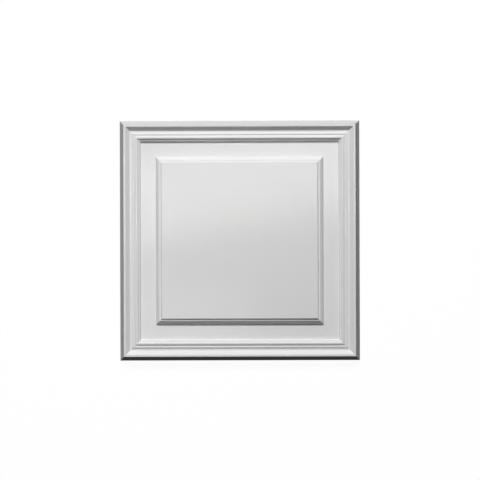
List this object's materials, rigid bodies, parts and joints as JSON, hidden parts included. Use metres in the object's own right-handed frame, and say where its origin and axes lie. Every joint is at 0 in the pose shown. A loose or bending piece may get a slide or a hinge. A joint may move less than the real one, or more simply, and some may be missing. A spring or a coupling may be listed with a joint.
{
  "type": "moulded wall panel",
  "caption": "Square one-piece moulded wall panel with a mitred profiled border, a recessed field and a raised flat centre, glued flat to a wall, door or ceiling.",
  "frame": {"origin": "centre of the flat back, in the plane that is glued to the wall", "axes": "+Z out of the moulded front, away from the wall; +Y up the wall; +X to the right as seen from the front"},
  "size_m": [0.55, 0.55, 0.025],
  "materials": {
    "primed_white": "satin white primer over moulded rigid foam"
  },
  "bodies": {
    "root": {"wall_panel": "primed_white"}
  },
  "joints": []
}
